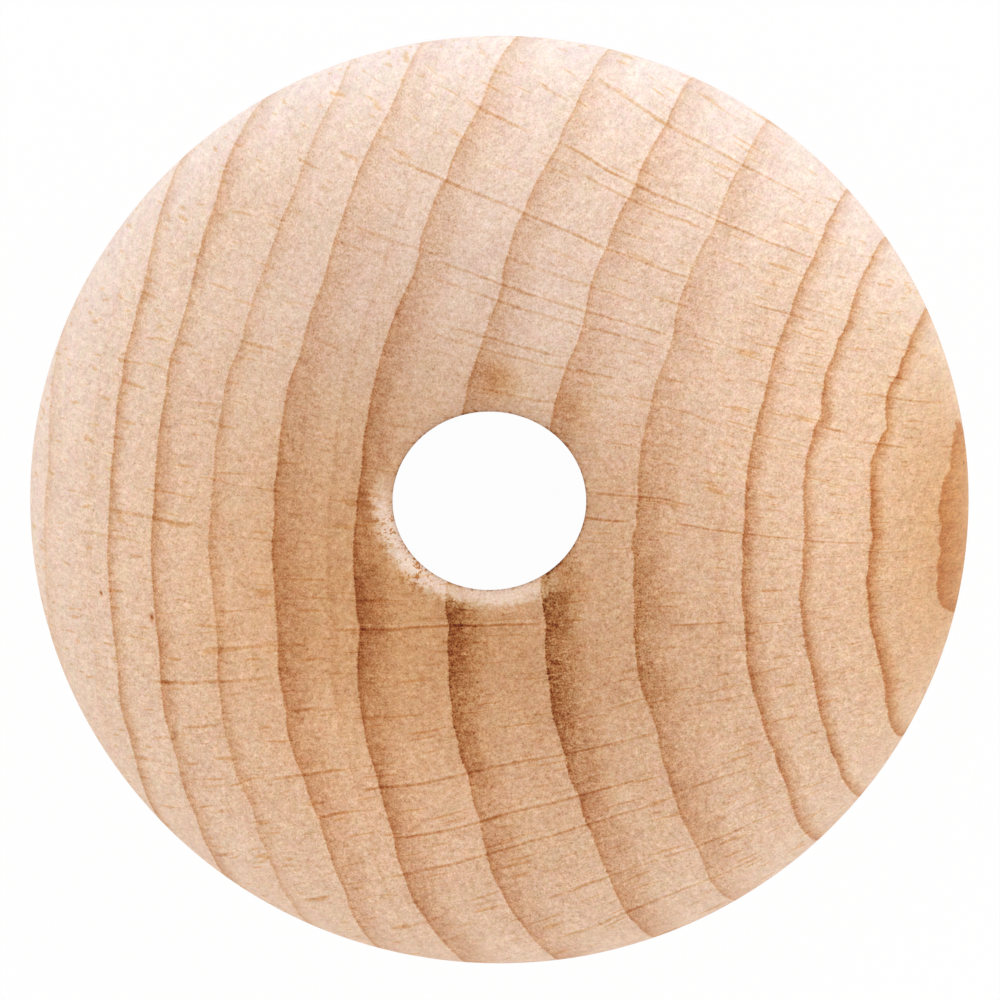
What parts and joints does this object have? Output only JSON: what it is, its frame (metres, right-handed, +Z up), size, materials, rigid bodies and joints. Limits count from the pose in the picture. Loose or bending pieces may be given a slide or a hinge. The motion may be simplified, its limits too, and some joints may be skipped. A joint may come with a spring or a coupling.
{
  "type": "wooden ball",
  "caption": "Turned wooden ball with a round bore drilled right through it and softened bore edges, to thread on a cord or slip over a dowel.",
  "frame": {"origin": "centre of the ball", "axes": "+Z up along the bore's axis, which runs 0.32 mm towards -X from the ball's centre; +X towards the heart of the tree, across the growth rings"},
  "size_m": [0.03, 0.03, 0.0294],
  "materials": {
    "beech": "sanded and tumbled smooth, without varnish"
  },
  "bodies": {
    "root": {"ball": "beech"}
  },
  "joints": []
}
